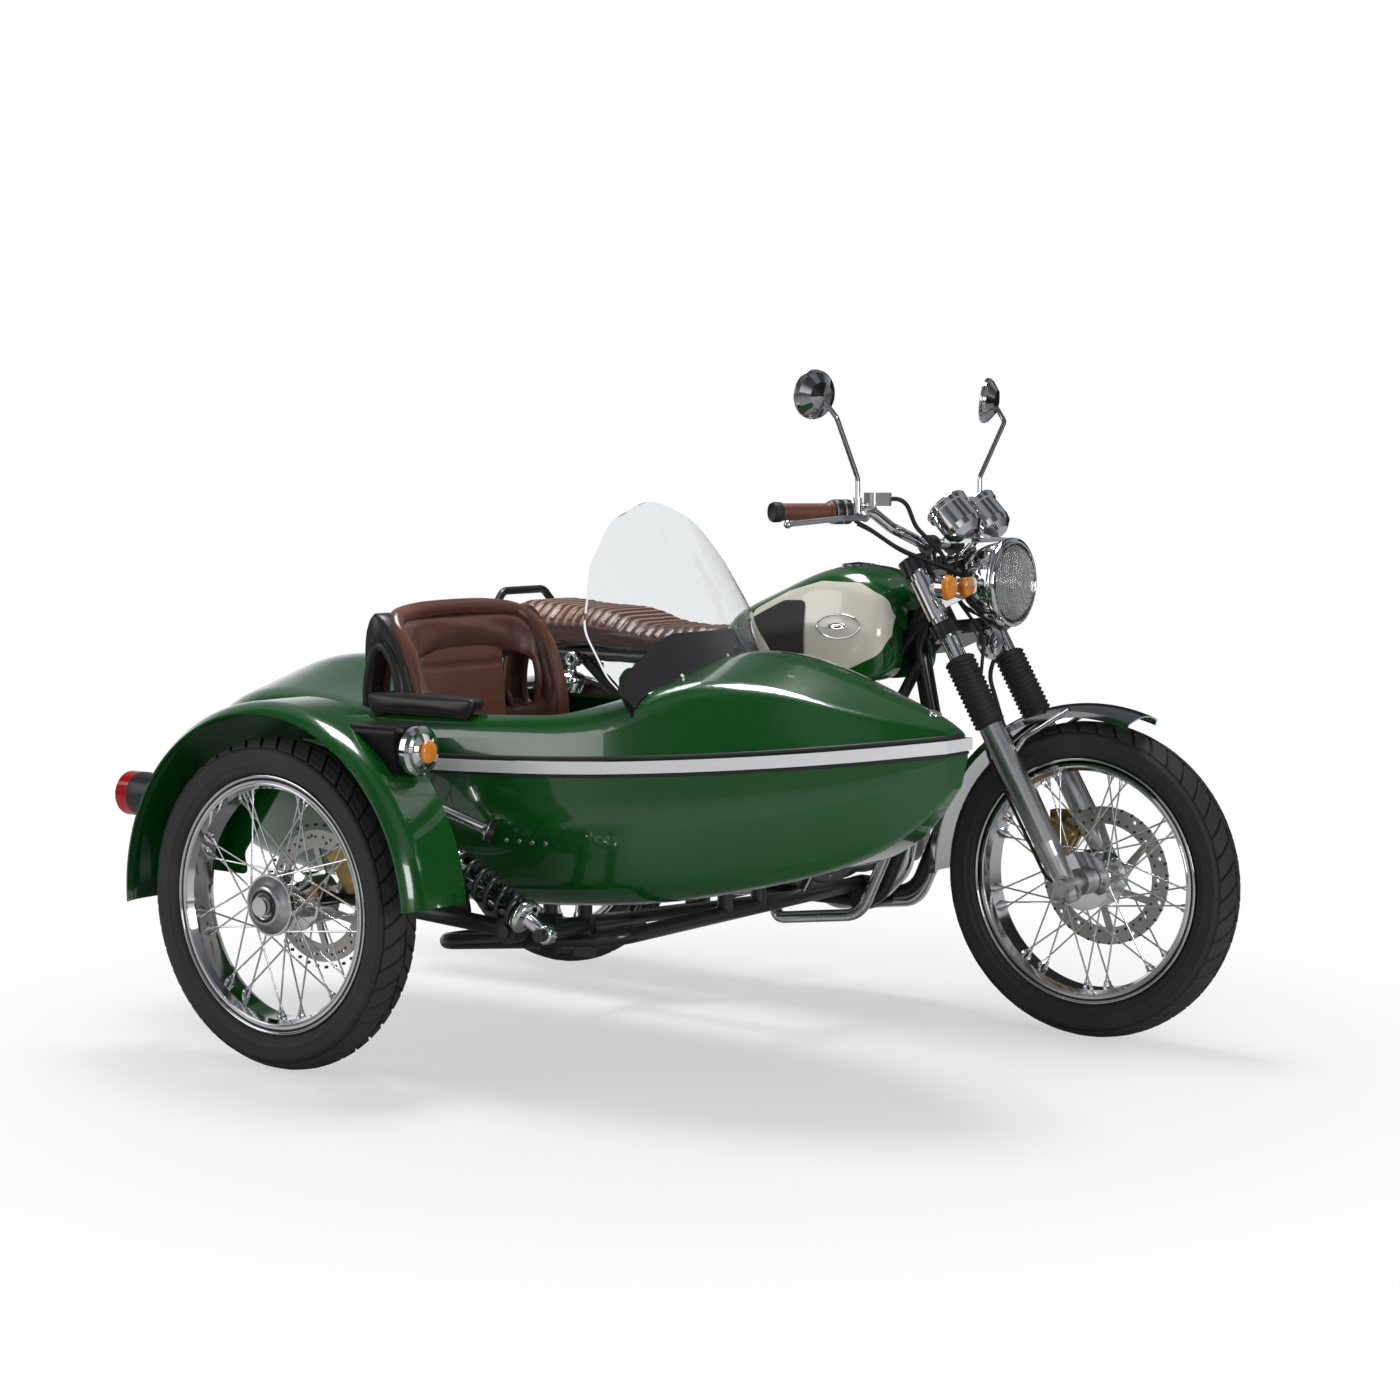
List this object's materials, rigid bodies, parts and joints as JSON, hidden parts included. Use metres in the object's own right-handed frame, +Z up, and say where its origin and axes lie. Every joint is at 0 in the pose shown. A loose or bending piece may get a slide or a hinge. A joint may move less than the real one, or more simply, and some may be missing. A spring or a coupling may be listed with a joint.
{
  "type": "sidecar motorcycle",
  "caption": "Motorcycle with a sidecar: spoked wheels, telescopic fork, finned engine, wide saddle and a boat-shaped passenger body with a screen.",
  "frame": {"origin": "middle of the bounding box on the ground", "axes": "+X forwards, +Y to the rider's left, +Z up"},
  "size_m": [2.071, 1.616, 1.3106],
  "materials": {
    "tyre": "matt, block tread",
    "chrome": "bright plate",
    "fork_alloy": "satin",
    "rubber": "matt",
    "black_steel": "semi-gloss black",
    "green_paint": "gloss dark green",
    "cream_paint": "gloss cream",
    "engine_alloy": "cast, dull",
    "engine_black": "black fins",
    "leather": "reddish brown",
    "clear_glass": "clear",
    "lamp_glass": "clear, ribbed",
    "amber": "amber lens",
    "red_lens": "red lens",
    "black_plastic": "black",
    "chain_steel": "oiled",
    "gold_alloy": "gold finish"
  },
  "bodies": {
    "outfit": {"frame_front": "black_steel", "frame_cradle": "black_steel", "frame_rear": "black_steel", "crankcase": "engine_alloy", "cylinder": "engine_black", "airbox": "black_plastic", "exhaust": "chrome", "fuel_tank": "green_paint", "tank_panels": "cream_paint", "knee_pads": "rubber", "fuel_cap": "chrome", "seat": "leather", "grab_rail": "black_steel", "rear_mudguard": "chrome", "tail_lamp": "black_plastic", "side_covers": "green_paint", "swingarm": "black_steel", "rear_shocks": "chrome", "drive_chain": "chain_steel", "foot_controls": "black_steel", "engine_guard": "chrome", "sidecar_hull": "green_paint", "sidecar_deck": "green_paint", "waist_strip": "chrome", "windscreen": "clear_glass", "screen_skirt": "black_plastic", "sidecar_seat": "leather", "seat_base": "black_plastic", "armrest": "leather", "sidecar_mudguard": "green_paint", "lamp_pod": "black_plastic", "marker_lamp": "chrome", "sidecar_tail_lamp": "red_lens", "sidecar_frame": "black_steel", "sidecar_swingarm": "black_steel", "sidecar_shock": "chrome", "sidecar_struts": "black_steel", "brake_callipers": "gold_alloy"},
    "steering": {"fork_stanchions": "chrome", "fork_gaiters": "rubber", "fork_sliders": "fork_alloy", "fork_clamps": "black_steel", "front_mudguard": "chrome", "headlamp": "chrome", "headlamp_glass": "lamp_glass", "gauges": "chrome", "horn": "chrome", "handlebar": "chrome", "grips": "leather", "hand_controls": "fork_alloy", "mirrors": "black_plastic", "front_signals": "amber", "front_calliper": "gold_alloy", "control_cables": "rubber"},
    "front_wheel_unit": {"front_tyre": "tyre", "front_wheel": "chrome"},
    "rear_wheel_unit": {"rear_tyre": "tyre", "rear_wheel": "chrome"},
    "sidecar_wheel_unit": {"sidecar_tyre": "tyre", "sidecar_wheel": "chrome"}
  },
  "joints": [
    {"name": "steering", "type": "hinge", "parent": "outfit", "child": "steering", "pos_m": [0.6792, 0.404, 0.288], "axis": [-0.5, 0, 0.866], "range_deg": [-35, 35]},
    {"name": "front_wheel_spin", "type": "hinge", "parent": "steering", "child": "front_wheel_unit", "pos_m": [0.7225, 0.404, 0.313], "axis": [0, 1, 0], "continuous": true},
    {"name": "rear_wheel_spin", "type": "hinge", "parent": "outfit", "child": "rear_wheel_unit", "pos_m": [-0.6275, 0.404, 0.313], "axis": [0, 1, 0], "continuous": true},
    {"name": "sidecar_wheel_spin", "type": "hinge", "parent": "outfit", "child": "sidecar_wheel_unit", "pos_m": [-0.3525, -0.746, 0.313], "axis": [0, 1, 0], "continuous": true}
  ]
}
